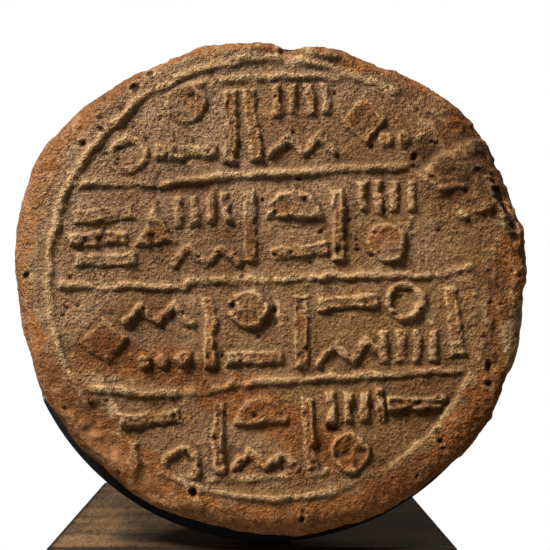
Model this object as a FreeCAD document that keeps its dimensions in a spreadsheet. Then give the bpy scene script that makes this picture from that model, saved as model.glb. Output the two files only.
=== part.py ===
import FreeCAD, Part

import math
import os

import Sketcher

# Funerary cone of fired clay with a stamped face, lying in a black steel cradle mount on a wooden block.
# Millimetres. +Z is up, the stamped face looks along -Y and the tail points along +Y.
# The origin is the middle of the baize's underside, where the block stands on a table.

SIZES = [
    ("baseWidth", 77.0, "wooden block, across"),
    ("baseBehindPost", 50.0, "rear post to the block's back"),
    ("baseCorner", 2.5, "rounding of the block's upright edges"),
    ("baseEase", 1.0, "rounding of the block's top edges"),
    ("woodGrip", 13.0, "wood between a nut recess and the block's top"),
    ("feltThick", 1.0, "baize under the block"),
    ("feltInset", 2.0, "how far the baize stays inside the block"),
    ("coneShift", 3.3, "cone's axis to the right of the block's centre line"),
    ("faceOverhang", 6.0, "stamped face ahead of the block's front"),
    ("coneLength", 185.0, "stamped face to the tail's end"),
    ("tailRadius", 13.0, "cone's radius at the tail before rounding"),
    ("tailRound", 9.0, "rounding of the tail's end"),
    ("faceMargin", 1.25, "flat clay outside the stamp's border"),
    ("shoulderWidth", 3.8, "flat of the face to the rim's outline, on average"),
    ("shoulderDepth", 5.0, "stamped face to the widest part of the rim"),
    ("rimFlare", 0.6, "how far the rim stands out from the body's even taper"),
    ("flareReach", 7.0, "widest part of the rim to the end of that flare"),
    ("swellReach", 40.0, "widest part of the rim to where its lobes have faded"),
    ("leftSwellRise", 3.1, "rim lobe, upper left"),
    ("leftSwellAngle", 149.0, "its direction, degrees from +X towards +Z"),
    ("leftSwellSpreadAngle", 27.0, "its spread in degrees"),
    ("rightSwellRise", 2.1, "rim lobe, upper right"),
    ("rightSwellAngle", 34.0, "its direction"),
    ("rightSwellSpreadAngle", 24.0, "its spread"),
    ("sideSwellRise", 0.9, "rim lobe, right"),
    ("sideSwellAngle", 8.0, "its direction"),
    ("sideSwellSpreadAngle", 18.0, "its spread"),
    ("footFlatRise", -1.4, "flattened rim, bottom left"),
    ("footFlatAngle", 256.0, "its direction"),
    ("footFlatSpreadAngle", 22.0, "its spread"),
    ("crownDentRise", -1.3, "small dent in the rim, top"),
    ("crownDentAngle", 84.0, "its direction"),
    ("crownDentSpreadAngle", 8.0, "its spread"),
    ("stampRise", 1.9, "stamp's centre above the cone's axis"),
    ("stampAngle", 3.3, "stamp's turn in degrees, anticlockwise"),
    ("borderGap", 2.6, "outermost ruled lines to the stamp's round border"),
    ("ridgeRadius", 0.75, "half width of the border's round ridge"),
    ("reliefHeight", 0.8, "how far the raised marks stand out"),
    ("reliefSink", 0.5, "how far their roots go into the clay"),
    ("lineWidth", 1.3, "ruled line between two registers"),
    ("registerPitch", 19.0, "ruled line to ruled line"),
    ("cellLift", 4.3, "middle of a register to its upper and lower marks"),
    ("discRadius", 3.6, "large round mark"),
    ("dotRadius", 1.3, "small round mark"),
    ("dotPitch", 3.6, "small round mark to the next"),
    ("ringWall", 1.3, "wall of a ring mark"),
    ("barWidth", 2.3, "thick mark"),
    ("barLength", 13.0, "upright thick mark"),
    ("slabLength", 11.0, "lying thick mark"),
    ("strokeWidth", 1.4, "thin mark"),
    ("strokeLength", 5.4, "upright thin mark"),
    ("strokePitch", 3.0, "upright thin mark to the next"),
    ("zigzagLeg", 4.2, "one leg of a zigzag mark"),
    ("lozengeRadius", 4.2, "diamond mark, centre to corner"),
    ("triangleRadius", 4.4, "triangle mark, centre to corner"),
    ("moundRadius", 5.0, "half round mark"),
    ("seatGap", 0.3, "clay to felt pad"),
    ("padThick", 0.6, "felt pad in a cradle"),
    ("padInset", 0.6, "how far a pad stays inside its band's edges"),
    ("padTrimAngle", 6.0, "degrees that a pad is shorter than its band"),
    ("bandThick", 2.0, "cradle band"),
    ("bandCorner", 2.5, "rounding of a band's end corners"),
    ("bandLift", 0.5, "front cradle's lowest line above the block"),
    ("frontBandStart", 12.0, "stamped face to the front cradle"),
    ("frontBandWidth", 12.0, "front cradle, front to back"),
    ("frontBandAngle", 132.0, "front cradle, degrees of its arc"),
    ("rearBandToTail", 60.0, "rear cradle to the tail's end"),
    ("rearBandWidth", 10.0, "rear cradle, front to back"),
    ("rearBandAngle", 120.0, "rear cradle, degrees of its arc"),
    ("shankRadius", 2.5, "shank through the block"),
    ("shankClearance", 0.15, "shank to the block's hole"),
    ("boreClearance", 0.06, "shank to the bores of nut and washer"),
    ("frontSeatLedge", 2.0, "front stud's shoulder outside its shank"),
    ("rearCollarLedge", 3.0, "rear post's collar outside its shank"),
    ("rearCollarHeight", 1.6, "rear post's collar"),
    ("rearPostRadius", 3.0, "rear post above its collar"),
    ("nutWall", 1.5, "nut's flats outside its shank"),
    ("nutHeight", 4.0, "nut"),
    ("washerLedge", 0.8, "washer outside the nut's corners"),
    ("washerThick", 1.0, "washer"),
    ("recessClearance", 1.1, "washer to the wall of its recess"),
    ("recessCover", 2.4, "shank's end to the block's underside"),
    ("shankTail", 1.6, "shank that shows below its nut"),
]

# Raised marks of the stamp: kind, column from the middle, register (0 is the lowest) and lift.
# They are plain geometric shapes in rows, which the ruled lines divide.
TOP, MIDDLE, BOTTOM = 1, 0, -1
MARKS = [
    ("ring", -6.0, 3, BOTTOM),
    ("disc", -3.3, 3, TOP),
    ("slab", -3.5, 3, BOTTOM),
    ("bar", -1.4, 3, MIDDLE),
    ("bar", -0.4, 3, MIDDLE),
    ("strokes", 1.8, 3, TOP),
    ("zigzag", 1.9, 3, BOTTOM),
    ("lozenge", 4.6, 3, MIDDLE),
    ("dots", 6.5, 3, BOTTOM),
    ("slab", -7.4, 2, TOP),
    ("slab", -7.6, 2, MIDDLE),
    ("slab", -7.4, 2, BOTTOM),
    ("triangle", -5.0, 2, MIDDLE),
    ("strokes", -2.8, 2, TOP),
    ("zigzag", -2.8, 2, BOTTOM),
    ("bar", -0.7, 2, MIDDLE),
    ("mound", 1.2, 2, TOP),
    ("slab", 1.3, 2, BOTTOM),
    ("bar", 3.3, 2, MIDDLE),
    ("strokes", 5.5, 2, TOP),
    ("disc", 5.4, 2, BOTTOM),
    ("lozenge", 7.9, 2, MIDDLE),
    ("lozenge", -7.6, 1, MIDDLE),
    ("zigzag", -5.1, 1, TOP),
    ("dots", -5.1, 1, BOTTOM),
    ("bar", -2.9, 1, MIDDLE),
    ("disc", -1.0, 1, TOP),
    ("slab", -0.9, 1, BOTTOM),
    ("bar", 1.2, 1, MIDDLE),
    ("slab", 3.5, 1, TOP),
    ("zigzag", 3.5, 1, BOTTOM),
    ("ring", 6.1, 1, TOP),
    ("strokes", 6.1, 1, BOTTOM),
    ("bar", 8.2, 1, MIDDLE),
    ("slab", -5.7, 0, TOP),
    ("ring", -4.5, 0, BOTTOM),
    ("bar", -2.7, 0, MIDDLE),
    ("mound", -0.8, 0, TOP),
    ("zigzag", -0.7, 0, BOTTOM),
    ("bar", 1.4, 0, MIDDLE),
    ("strokes", 3.6, 0, TOP),
    ("disc", 3.2, 0, BOTTOM),
    ("slab", 6.3, 0, TOP),
]
REGISTERS = 4
COLUMNS = 20
STROKES = 4
DOTS = 3
ZIGZAG_LEGS = 4
ZIGZAG_SLOPE = 45
HALF_TURN = 180
UPRIGHT = 90
LOBES = ("leftSwell", "rightSwell", "sideSwell", "footFlat", "crownDent")
OUTLINE_POINTS = 36
SHOULDER_STEPS = 4
SWELL_STEPS = 5
SWELL_CROWDING = 1.5
LOFT_DEGREE = 2
NEAR = 1e-6

doc = FreeCAD.newDocument("FuneraryCone")
sheet = doc.addObject("Spreadsheet::Sheet", "Sizes")
for row, (alias, value, note) in enumerate(SIZES, start=1):
    sheet.set(f"A{row}", note)
    sheet.set(f"B{row}", str(value))
    sheet.setAlias(f"B{row}", alias)
doc.recompute()


def size(alias):
    return float(sheet.get(alias))


def measured(expression):
    """The value of an expression, for the shapes that are made in code."""
    return float(sheet.evalExpression(expression))


# Expressions that several pieces share. A depth is measured from the stamped face towards the tail.
# TAPER is the body's fall in radius per millimetre of depth, and SLANT turns a thickness that is
# square to the clay into one that is square to the axis.
RING_RADIUS = f"({REGISTERS / 2} * Sizes.registerPitch + Sizes.borderGap)"
FACE_RADIUS = f"({RING_RADIUS} + Sizes.ridgeRadius + Sizes.faceMargin)"
RIM_RADIUS = f"({FACE_RADIUS} + Sizes.shoulderWidth)"
TAPER = f"(({RIM_RADIUS} - Sizes.rimFlare - Sizes.tailRadius) / (Sizes.coneLength - Sizes.shoulderDepth))"
SLANT = f"sqrt(1 + {TAPER} ^ 2)"
NECK_DEPTH = "(Sizes.shoulderDepth + Sizes.swellReach)"
FRONT_BAND_START = "Sizes.frontBandStart"
REAR_BAND_START = "(Sizes.coneLength - Sizes.rearBandToTail - Sizes.rearBandWidth)"
FRONT_STUD_DEPTH = f"({FRONT_BAND_START} + Sizes.frontBandWidth / 2)"
REAR_POST_DEPTH = f"({REAR_BAND_START} + Sizes.rearBandWidth / 2)"


def cone_radius(depth):
    return f"({RIM_RADIUS} - Sizes.rimFlare - ({depth} - Sizes.shoulderDepth) * {TAPER})"


def band_outside(depth):
    skin = "(Sizes.seatGap + Sizes.padThick + Sizes.bandThick)"
    return f"({cone_radius(depth)} + {skin} * {SLANT})"


RECESS_DEPTH = "(Sizes.washerThick + Sizes.nutHeight + Sizes.shankTail + Sizes.recessCover)"
BASE_HEIGHT = f"({RECESS_DEPTH} + Sizes.woodGrip)"
BASE_DEPTH = f"({REAR_POST_DEPTH} - Sizes.faceOverhang + Sizes.baseBehindPost)"
BASE_TOP = f"(Sizes.feltThick + {BASE_HEIGHT})"
NUT_SEAT_Z = f"(Sizes.feltThick + {RECESS_DEPTH})"
FACE_Y = f"(-{BASE_DEPTH} / 2 - Sizes.faceOverhang)"
FRONT_STUD_Y = f"({FACE_Y} + {FRONT_STUD_DEPTH})"
REAR_POST_Y = f"({FACE_Y} + {REAR_POST_DEPTH})"
AXIS_Z = f"({BASE_TOP} + Sizes.bandLift + {band_outside(FRONT_BAND_START)})"
NUT_CORNER = "((Sizes.shankRadius + Sizes.nutWall) * 2 / sqrt(3))"
WASHER_RADIUS = f"({NUT_CORNER} + Sizes.washerLedge)"
FRONT_SEAT_RADIUS = "(Sizes.shankRadius + Sizes.frontSeatLedge)"
REAR_COLLAR_RADIUS = "(Sizes.shankRadius + Sizes.rearCollarLedge)"


def bind(item, **expressions):
    for name, text in expressions.items():
        item.setExpression(name.replace("__", "."), text)
    return item


def place(item, x="0", y="0", z="0"):
    return bind(
        item,
        Placement__Base__x=x,
        Placement__Base__y=y,
        Placement__Base__z=z,
    )


# Sketches

def new_body(label):
    item = doc.addObject("PartDesign::Body", label)
    item.Label = label
    return item


def new_sketch(body, role, name, lift=None):
    sketch = body.newObject("Sketcher::SketchObject", name)
    plane = next(f for f in body.Origin.OriginFeatures if f.Role == role)
    sketch.AttachmentSupport = (plane, [""])
    sketch.MapMode = "FlatFace"
    if lift:
        sketch.setExpression("AttachmentOffset.Base.z", lift)
    return sketch


def polygon(sketch, corners):
    """A closed outline whose corners are pairs of expressions, measured from the sketch's origin."""
    start = [FreeCAD.Vector(10.0 + i, 10.0 + i * i, 0) for i in range(len(corners))]
    for i in range(len(corners)):
        sketch.addGeometry(Part.LineSegment(start[i], start[(i + 1) % len(start)]))
    for i in range(len(corners)):
        sketch.addConstraint(Sketcher.Constraint("Coincident", i, 2, (i + 1) % len(corners), 1))
    for i, pair in enumerate(corners):
        for kind, text in zip(("DistanceX", "DistanceY"), pair):
            index = sketch.addConstraint(Sketcher.Constraint(kind, -1, 1, i, 1, 1.0))
            sketch.setExpression(f"Constraints[{index}]", text)
    return sketch


def rectangle(sketch, width, depth):
    half_w, half_d = f"({width}) / 2", f"({depth}) / 2"
    return polygon(
        sketch,
        [
            (f"-{half_w}", f"-{half_d}"),
            (half_w, f"-{half_d}"),
            (half_w, half_d),
            (f"-{half_w}", half_d),
        ],
    )


def circles(sketch, radius, centres):
    for i, (x, y) in enumerate(centres):
        centre = FreeCAD.Vector(1.0 + i, 5.0 * i, 0)
        sketch.addGeometry(Part.Circle(centre, FreeCAD.Vector(0, 0, 1), 1.0))
        index = sketch.addConstraint(Sketcher.Constraint("Radius", i, 1.0))
        sketch.setExpression(f"Constraints[{index}]", radius)
        for kind, text in (("DistanceX", x), ("DistanceY", y)):
            index = sketch.addConstraint(Sketcher.Constraint(kind, -1, 1, i, 3, 1.0))
            sketch.setExpression(f"Constraints[{index}]", text)
    return sketch


def pad(body, sketch, name, length):
    feature = body.newObject("PartDesign::Pad", name)
    feature.Profile = sketch
    return bind(feature, Length=length)


def edges_where(shape, test):
    return [f"Edge{i}" for i, edge in enumerate(shape.Edges, start=1) if test(edge)]


def fillet(body, base, name, radius, test):
    doc.recompute()
    feature = body.newObject("PartDesign::Fillet", name)
    feature.Base = (base, edges_where(base.Shape, test))
    return bind(feature, Radius=radius)


def is_upright(edge):
    return isinstance(edge.Curve, Part.Line) and abs(abs(edge.Curve.Direction.z) - 1) < NEAR


# Wooden block and the baize under it

def make_block():
    body = new_body("base_block")
    outline = rectangle(
        new_sketch(body, "XY_Plane", "block_outline", "Sizes.feltThick"),
        "Sizes.baseWidth",
        BASE_DEPTH,
    )
    block = pad(body, outline, "block", BASE_HEIGHT)
    rounded = fillet(body, block, "block_corners", "Sizes.baseCorner", is_upright)
    top = measured(BASE_TOP)
    fillet(body, rounded, "block_top_edge", "Sizes.baseEase", lambda e: abs(e.BoundBox.ZMin - top) < NEAR)
    centres = [("Sizes.coneShift", FRONT_STUD_Y), ("Sizes.coneShift", REAR_POST_Y)]
    hole_radius = "Sizes.shankRadius + Sizes.shankClearance"
    recess_radius = f"{WASHER_RADIUS} + Sizes.recessClearance"
    drill(body, "shank_holes", hole_radius, BASE_HEIGHT, centres)
    drill(body, "nut_recesses", recess_radius, RECESS_DEPTH, centres)
    return body


def drill(body, name, radius, depth, centres):
    cut = body.newObject("PartDesign::Pocket", name)
    cut.Profile = circles(new_sketch(body, "XY_Plane", f"{name}_centres", "Sizes.feltThick"), radius, centres)
    cut.Reversed = True
    return bind(cut, Length=depth)


def make_baize():
    body = new_body("base_felt")
    outline = rectangle(
        new_sketch(body, "XY_Plane", "felt_outline"),
        "Sizes.baseWidth - 2 * Sizes.feltInset",
        f"{BASE_DEPTH} - 2 * Sizes.feltInset",
    )
    flat = pad(body, outline, "felt", "Sizes.feltThick")
    fillet(body, flat, "felt_corners", "Sizes.baseCorner", is_upright)
    return body


# Cradle bands and their felt pads: a strip that follows the cone's taper, turned about the cone's axis

def make_strip(label, start, width, arc, inner_skin, outer_skin, corner=None):
    body = new_body(label)
    end = f"({start} + {width})"
    inner, outer = f"({inner_skin}) * {SLANT}", f"({outer_skin}) * {SLANT}"
    section = polygon(
        new_sketch(body, "YZ_Plane", f"{label}_section"),
        [
            (start, f"-({cone_radius(start)} + {inner})"),
            (end, f"-({cone_radius(end)} + {inner})"),
            (end, f"-({cone_radius(end)} + {outer})"),
            (start, f"-({cone_radius(start)} + {outer})"),
        ],
    )
    strip = body.newObject("PartDesign::Revolution", f"{label}_turned")
    strip.Profile = section
    strip.ReferenceAxis = (section, ["H_Axis"])
    strip.Midplane = True
    bind(strip, Angle=arc)
    if corner:
        fillet(body, strip, f"{label}_ends", corner, crosses_band)
    place(body, "Sizes.coneShift", FACE_Y, AXIS_Z)
    return body


def crosses_band(edge):
    """The band's four short edges, which run through its thickness at its ends."""
    thickness = size("bandThick")
    return isinstance(edge.Curve, Part.Line) and abs(edge.Length - thickness) < thickness / 10


def make_cradle(side, start):
    width, arc = f"Sizes.{side}BandWidth", f"Sizes.{side}BandAngle"
    felt_inside = "Sizes.seatGap"
    steel_inside = "(Sizes.seatGap + Sizes.padThick)"
    steel_outside = "(Sizes.seatGap + Sizes.padThick + Sizes.bandThick)"
    band = make_strip(f"{side}_cradle", start, width, arc, steel_inside, steel_outside, "Sizes.bandCorner")
    pad_start = f"({start} + Sizes.padInset)"
    pad_width = f"({width} - 2 * Sizes.padInset)"
    pad_arc = f"({arc} - Sizes.padTrimAngle)"
    felt = make_strip(f"{side}_cradle_pad", pad_start, pad_width, pad_arc, felt_inside, steel_inside)
    return [band, felt]


# Studs that are brazed under the cradles and pass through the block

def column(body, name, radius, low, high):
    outline = circles(new_sketch(body, "XY_Plane", f"{name}_outline", low), radius, [("0", "0")])
    return pad(body, outline, name, f"{high} - {low}")


def make_stud(label, depth, post_radius, collar_radius, collar_height):
    body = new_body(label)
    shank_end = "(Sizes.feltThick + Sizes.recessCover)"
    column(body, f"{label}_shank", "Sizes.shankRadius", shank_end, BASE_TOP)
    column(body, f"{label}_collar", collar_radius, BASE_TOP, f"({BASE_TOP} + {collar_height})")
    column(body, f"{label}_post", post_radius, BASE_TOP, AXIS_Z)
    # The top is turned off about the cone's axis to the underside of the band, so that the two meet
    # face to face. The cut runs past the post on both sides.
    reach = f"(2 * {post_radius})"
    front, back = f"({depth} - {reach})", f"({depth} + {reach})"
    cutter = polygon(
        new_sketch(body, "YZ_Plane", f"{label}_saddle"),
        [
            (f"-{reach}", AXIS_Z),
            (reach, AXIS_Z),
            (reach, f"{AXIS_Z} - {band_outside(back)}"),
            (f"-{reach}", f"{AXIS_Z} - {band_outside(front)}"),
        ],
    )
    first_guess = Part.LineSegment(FreeCAD.Vector(-5, 70, 0), FreeCAD.Vector(5, 70, 0))
    axis_line = cutter.addGeometry(first_guess, True)
    cutter.addConstraint(Sketcher.Constraint("Coincident", axis_line, 1, 0, 1))
    cutter.addConstraint(Sketcher.Constraint("Coincident", axis_line, 2, 0, 2))
    saddle = body.newObject("PartDesign::Groove", f"{label}_top")
    saddle.Profile = cutter
    saddle.ReferenceAxis = (cutter, ["Axis0"])
    saddle.Angle = 2 * HALF_TURN
    place(body, "Sizes.coneShift", f"{FACE_Y} + {depth}", "0")
    return body


# Washers and nuts, one of each on every shank

def bored(name, blank, height):
    bore = bind(
        doc.addObject("Part::Cylinder", f"{name}_bore"),
        Radius="Sizes.shankRadius + Sizes.boreClearance",
        Height=height,
    )
    piece = doc.addObject("Part::Cut", name)
    piece.Base, piece.Tool = blank, bore
    return piece


def make_washer(name, y):
    disc = bind(
        doc.addObject("Part::Cylinder", f"{name}_disc"),
        Radius=WASHER_RADIUS,
        Height="Sizes.washerThick",
    )
    washer = bored(name, disc, "Sizes.washerThick")
    return place(washer, "Sizes.coneShift", y, f"{NUT_SEAT_Z} - Sizes.washerThick")


def make_nut(name, y):
    hexagon = doc.addObject("Part::Prism", f"{name}_hexagon")
    hexagon.Polygon = 6
    bind(hexagon, Circumradius=NUT_CORNER, Height="Sizes.nutHeight")
    # A cone of 45 degrees takes the hexagon's lower corners off, as on a turned nut.
    chamfer = bind(
        doc.addObject("Part::Cone", f"{name}_chamfer"),
        Radius1="Sizes.shankRadius + Sizes.nutWall",
        Radius2="Sizes.shankRadius + Sizes.nutWall + Sizes.nutHeight",
        Height="Sizes.nutHeight",
    )
    chamfered = doc.addObject("Part::Common", f"{name}_chamfered")
    chamfered.Base, chamfered.Tool = hexagon, chamfer
    nut = bored(name, chamfered, "Sizes.nutHeight")
    return place(nut, "Sizes.coneShift", y, f"{NUT_SEAT_Z} - Sizes.washerThick - Sizes.nutHeight")


def make_group(label, members):
    group = doc.addObject("Part::Compound", label)
    group.Label = label
    group.Links = members
    return group


# Clay body: an irregular rim that runs into an evenly tapering tail

def lobes(angle):
    rise = 0.0
    for lobe in LOBES:
        apart = (angle - size(f"{lobe}Angle") + HALF_TURN) % (2 * HALF_TURN) - HALF_TURN
        rise += size(f"{lobe}Rise") * math.exp(-((apart / size(f"{lobe}SpreadAngle")) ** 2))
    return rise


def face_point(turn):
    """A point on the edge of the flat face, which is round about the stamp's centre."""
    radius = measured(FACE_RADIUS)
    return FreeCAD.Vector(radius * math.cos(turn), 0, radius * math.sin(turn) + size("stampRise"))


def body_point(turn, depth):
    """A point behind the shoulder, where the lobes and the flare fade into the even taper."""
    along = depth - size("shoulderDepth")
    faded = along / size("swellReach")
    swell = lobes(math.degrees(turn)) * (1 - faded) ** 2 * (1 + 2 * faded)
    flare = size("rimFlare") * max(0.0, 1 - along / size("flareReach")) ** 2
    radius = measured(cone_radius(depth)) + swell + flare
    return FreeCAD.Vector(radius * math.cos(turn), depth, radius * math.sin(turn))


def closed_curve(point_at):
    """A smooth closed outline. Even parameters give every outline the same knots, as a loft needs."""
    turns = [2 * math.pi * i / OUTLINE_POINTS for i in range(OUTLINE_POINTS + 1)]
    curve = Part.BSplineCurve()
    curve.interpolate([point_at(turn) for turn in turns[:-1]], PeriodicFlag=True, Parameters=turns)
    return Part.Wire([curve.toShape()])


def shoulder_point(turn, step):
    """The shoulder is a quarter ellipse from the edge of the flat face to the rim's outline."""
    quarter = math.pi / 2 * step / SHOULDER_STEPS
    start, end = face_point(turn), body_point(turn, size("shoulderDepth"))
    point = start + (end - start) * math.sin(quarter)
    point.y = size("shoulderDepth") * (1 - math.cos(quarter))
    return point


def make_rim():
    sections = []
    for step in range(SHOULDER_STEPS + 1):
        sections.append(closed_curve(lambda turn, s=step: shoulder_point(turn, s)))
    for step in range(1, SWELL_STEPS):
        depth = size("shoulderDepth") + size("swellReach") * (step / SWELL_STEPS) ** SWELL_CROWDING
        sections.append(closed_curve(lambda turn, d=depth: body_point(turn, d)))
    neck = Part.Circle(
        FreeCAD.Vector(0, measured(NECK_DEPTH), 0),
        FreeCAD.Vector(0, -1, 0),
        measured(cone_radius(NECK_DEPTH)),
    )
    neck.XAxis = FreeCAD.Vector(1, 0, 0)
    sections.append(Part.Wire([neck.toShape()]))
    rim = doc.addObject("Part::Feature", "rim")
    rim.Shape = Part.makeLoft(sections, True, False, False, LOFT_DEGREE)
    return rim


def make_tail():
    body = new_body("tail")
    section = polygon(
        new_sketch(body, "YZ_Plane", "tail_section"),
        [
            (NECK_DEPTH, "0"),
            ("Sizes.coneLength", "0"),
            ("Sizes.coneLength", "Sizes.tailRadius"),
            (NECK_DEPTH, cone_radius(NECK_DEPTH)),
        ],
    )
    turned = body.newObject("PartDesign::Revolution", "tail_turned")
    turned.Profile = section
    turned.ReferenceAxis = (section, ["H_Axis"])
    end = size("coneLength")
    fillet(body, turned, "tail_end", "Sizes.tailRound", lambda e: abs(e.BoundBox.YMin - end) < NEAR)
    return body


# Raised marks of the stamp, drawn lying flat: X to the right, Y up the face, Z out of the clay

MARK_DEPTH = "(Sizes.reliefHeight + Sizes.reliefSink)"


def make_strip_mark(name, length, width, x, y, turn=0):
    mark = bind(doc.addObject("Part::Box", name), Length=length, Width=width, Height=MARK_DEPTH)
    mark.Placement.Rotation = FreeCAD.Rotation(FreeCAD.Vector(0, 0, 1), turn)
    along, across = f"({length}) / 2", f"({width}) / 2"
    return place(
        mark,
        f"{x} - {along} * cos({turn}) + {across} * sin({turn})",
        f"{y} - {along} * sin({turn}) - {across} * cos({turn})",
        "-Sizes.reliefSink",
    )


def make_round_mark(name, radius, x, y, sweep=2 * HALF_TURN):
    mark = bind(doc.addObject("Part::Cylinder", name), Radius=radius, Height=MARK_DEPTH)
    mark.Angle = sweep
    return place(mark, x, y, "-Sizes.reliefSink")


def make_prism_mark(name, corners, radius, x, y):
    mark = doc.addObject("Part::Prism", name)
    mark.Polygon = corners
    bind(mark, Circumradius=radius, Height=MARK_DEPTH)
    mark.Placement.Rotation = FreeCAD.Rotation(FreeCAD.Vector(0, 0, 1), UPRIGHT)
    return place(mark, x, y, "-Sizes.reliefSink")


def make_ring_mark(name, x, y):
    outside = make_round_mark(f"{name}_outside", "Sizes.discRadius", "0", "0")
    inside = make_round_mark(f"{name}_inside", "Sizes.discRadius - Sizes.ringWall", "0", "0")
    ring = doc.addObject("Part::Cut", name)
    ring.Base, ring.Tool = outside, inside
    return place(ring, x, y)


def spread(count, pitch, middle):
    """The places of a row of equal marks about its middle."""
    return [f"({middle} + {i - (count - 1) / 2} * {pitch})" for i in range(count)]


def make_mark(name, kind, column_at, register, lift):
    x = f"({column_at} * 2 * {RING_RADIUS} / {COLUMNS})"
    y = f"({register - (REGISTERS - 1) / 2} * Sizes.registerPitch + {lift} * Sizes.cellLift)"
    if kind == "disc":
        return [make_round_mark(name, "Sizes.discRadius", x, y)]
    if kind == "ring":
        return [make_ring_mark(name, x, y)]
    if kind == "mound":
        return [make_round_mark(name, "Sizes.moundRadius", x, f"{y} - Sizes.moundRadius / 2", HALF_TURN)]
    if kind == "lozenge":
        return [make_prism_mark(name, 4, "Sizes.lozengeRadius", x, y)]
    if kind == "triangle":
        return [make_prism_mark(name, 3, "Sizes.triangleRadius", x, y)]
    if kind == "bar":
        return [make_strip_mark(name, "Sizes.barLength", "Sizes.barWidth", x, y, UPRIGHT)]
    if kind == "slab":
        return [make_strip_mark(name, "Sizes.slabLength", "Sizes.barWidth", x, y)]
    if kind == "dots":
        at = spread(DOTS, "Sizes.dotPitch", x)
        return [make_round_mark(f"{name}_{i}", "Sizes.dotRadius", at[i], y) for i in range(DOTS)]
    if kind == "strokes":
        at = spread(STROKES, "Sizes.strokePitch", x)
        return [
            make_strip_mark(f"{name}_{i}", "Sizes.strokeLength", "Sizes.strokeWidth", at[i], y, UPRIGHT)
            for i in range(STROKES)
        ]
    at = spread(ZIGZAG_LEGS, f"(Sizes.zigzagLeg * cos({ZIGZAG_SLOPE}))", x)
    return [
        make_strip_mark(f"{name}_{i}", "Sizes.zigzagLeg + Sizes.strokeWidth", "Sizes.strokeWidth",
                        at[i], y, ZIGZAG_SLOPE if i % 2 else -ZIGZAG_SLOPE)
        for i in range(ZIGZAG_LEGS)
    ]


def make_ruled_lines():
    length = f"(2 * {RING_RADIUS})"
    heights = [f"({i - REGISTERS / 2} * Sizes.registerPitch)" for i in range(REGISTERS + 1)]
    return [
        make_strip_mark(f"ruled_line_{i}", length, "Sizes.lineWidth", "0", y)
        for i, y in enumerate(heights)
    ]


def make_stamp():
    marks = make_ruled_lines()
    for i, entry in enumerate(MARKS):
        marks += make_mark(f"mark_{i}", *entry)
    pattern = doc.addObject("Part::MultiFuse", "stamp_pattern")
    pattern.Shapes = marks
    field = make_round_mark("stamp_field", RING_RADIUS, "0", "0")
    inside = doc.addObject("Part::Common", "stamp_inside")
    inside.Base, inside.Tool = pattern, field
    border = bind(
        doc.addObject("Part::Torus", "stamp_border"),
        Radius1=RING_RADIUS,
        Radius2="Sizes.ridgeRadius",
    )
    stamp = doc.addObject("Part::Fuse", "stamp")
    stamp.Base, stamp.Tool = inside, border
    upright = FreeCAD.Rotation(FreeCAD.Vector(1, 0, 0), UPRIGHT)
    turned = FreeCAD.Rotation(FreeCAD.Vector(0, 0, 1), size("stampAngle"))
    stamp.Placement.Rotation = upright.multiply(turned)
    return place(stamp, "0", "0", "Sizes.stampRise")


def make_cone():
    cone = doc.addObject("Part::MultiFuse", "clay_cone")
    cone.Label = "clay_cone"
    cone.Shapes = [make_rim(), make_tail(), make_stamp()]
    return place(cone, "Sizes.coneShift", FACE_Y, AXIS_Z)


def make_all():
    pieces = [make_block(), make_baize(), make_cone()]
    pieces += make_cradle("front", FRONT_BAND_START)
    pieces += make_cradle("rear", REAR_BAND_START)
    pieces.append(make_stud("front_stud", FRONT_STUD_DEPTH, FRONT_SEAT_RADIUS, FRONT_SEAT_RADIUS,
                            "Sizes.bandLift"))
    pieces.append(make_stud("rear_post", REAR_POST_DEPTH, "Sizes.rearPostRadius", REAR_COLLAR_RADIUS,
                            "Sizes.rearCollarHeight"))
    shanks = {"front": FRONT_STUD_Y, "rear": REAR_POST_Y}
    pieces.append(make_group("stud_washers", [make_washer(f"{k}_washer", y) for k, y in shanks.items()]))
    pieces.append(make_group("stud_nuts", [make_nut(f"{k}_nut", y) for k, y in shanks.items()]))
    return pieces


def check_and_write(pieces):
    doc.recompute()
    for item in doc.Objects:
        if "Invalid" in item.State or "Error" in item.State:
            raise RuntimeError(f"{item.Name} failed: {item.State}")
    os.makedirs("parts", exist_ok=True)
    for piece in pieces:
        shape = piece.Shape
        if shape.isNull() or not shape.isValid() or not shape.Solids:
            raise RuntimeError(f"{piece.Label} has no valid solid")
        shape.exportStep(os.path.join("parts", f"{piece.Label}.step"))
        box = shape.BoundBox
        spans = [(box.XMin, box.XMax), (box.YMin, box.YMax), (box.ZMin, box.ZMax)]
        spans_text = ", ".join(f"{low:.1f}..{high:.1f}" for low, high in spans)
        print(f"{piece.Label}: {len(shape.Solids)} solid(s), {shape.Volume:.1f} mm3, x y z {spans_text}")


check_and_write(make_all())
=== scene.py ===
import math

import bpy
import numpy as np
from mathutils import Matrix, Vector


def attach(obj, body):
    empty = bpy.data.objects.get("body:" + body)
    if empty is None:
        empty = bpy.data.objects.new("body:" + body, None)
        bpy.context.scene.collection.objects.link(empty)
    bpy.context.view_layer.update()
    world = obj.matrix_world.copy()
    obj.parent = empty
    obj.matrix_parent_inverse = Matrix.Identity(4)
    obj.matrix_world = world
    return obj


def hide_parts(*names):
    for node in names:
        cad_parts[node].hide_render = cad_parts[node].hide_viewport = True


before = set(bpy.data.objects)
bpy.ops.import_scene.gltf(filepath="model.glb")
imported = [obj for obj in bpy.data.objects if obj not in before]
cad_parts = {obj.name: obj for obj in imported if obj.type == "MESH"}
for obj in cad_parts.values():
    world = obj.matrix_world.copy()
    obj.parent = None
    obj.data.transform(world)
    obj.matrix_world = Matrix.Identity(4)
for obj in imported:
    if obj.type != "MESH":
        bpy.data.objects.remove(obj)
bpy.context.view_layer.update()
print("frame loaded:", sorted(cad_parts))

mm = 0.001

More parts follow.
